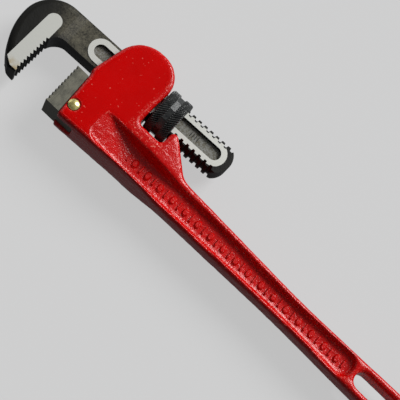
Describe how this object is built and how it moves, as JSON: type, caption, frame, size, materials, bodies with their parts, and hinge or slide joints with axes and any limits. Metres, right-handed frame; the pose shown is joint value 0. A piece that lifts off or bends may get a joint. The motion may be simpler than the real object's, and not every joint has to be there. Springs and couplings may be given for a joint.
{
  "type": "pipe wrench",
  "caption": "Straight pipe wrench: I-beam handle with housing, sprung hook jaw driven by a knurled nut, pinned toothed heel jaw.",
  "frame": {"origin": "under the middle of the bounding box, on the surface the wrench lies on", "axes": "+X from the jaws to the handle's end, +Y to the crown of the housing, +Z across the thickness"},
  "size_m": [0.3496, 0.0738, 0.03],
  "materials": {
    "handle_paint": "gloss paint over rough cast iron",
    "jaw_insert_steel": "ground, slightly tarnished",
    "pin_brass": "yellow plated",
    "forged_steel": "black forging with ground bright faces",
    "black_steel": "black oxide, knurled",
    "spring_steel": "bright spring steel"
  },
  "bodies": {
    "handle": {"handle": "handle_paint", "heel_jaw": "jaw_insert_steel", "heel_jaw_pin": "pin_brass", "coil_spring": "spring_steel"},
    "rocker": {"flat_spring": "spring_steel", "spring_rivet": "spring_steel"},
    "nut": {"adjusting_nut": "black_steel"},
    "hook": {"hook_jaw": "forged_steel"}
  },
  "joints": [
    {"name": "jaw_rock", "type": "hinge", "parent": "handle", "child": "rocker", "pos_m": [-0.06925, 0.01401, 0.015], "axis": [0, 0, -1], "range_deg": [0, 2], "stiffness_Nm_per_rad": 3.6, "springref_deg": -5.73, "deforming": ["coil_spring"]},
    {"name": "nut_spin", "type": "hinge", "parent": "rocker", "child": "nut", "pos_m": [-0.06925, 0.01401, 0.015], "axis": [0.9993, 0.0366, 0], "range_deg": [-1762, 2911]},
    {"name": "jaw_slide", "type": "slide", "parent": "rocker", "child": "hook", "axis": [-0.9993, -0.0366, 0], "range_m": [-0.023, 0.038]}
  ],
  "couplings": [
    {"joint": "nut_spin", "follows": "jaw_slide", "rad_per_m": 1336.8}
  ]
}
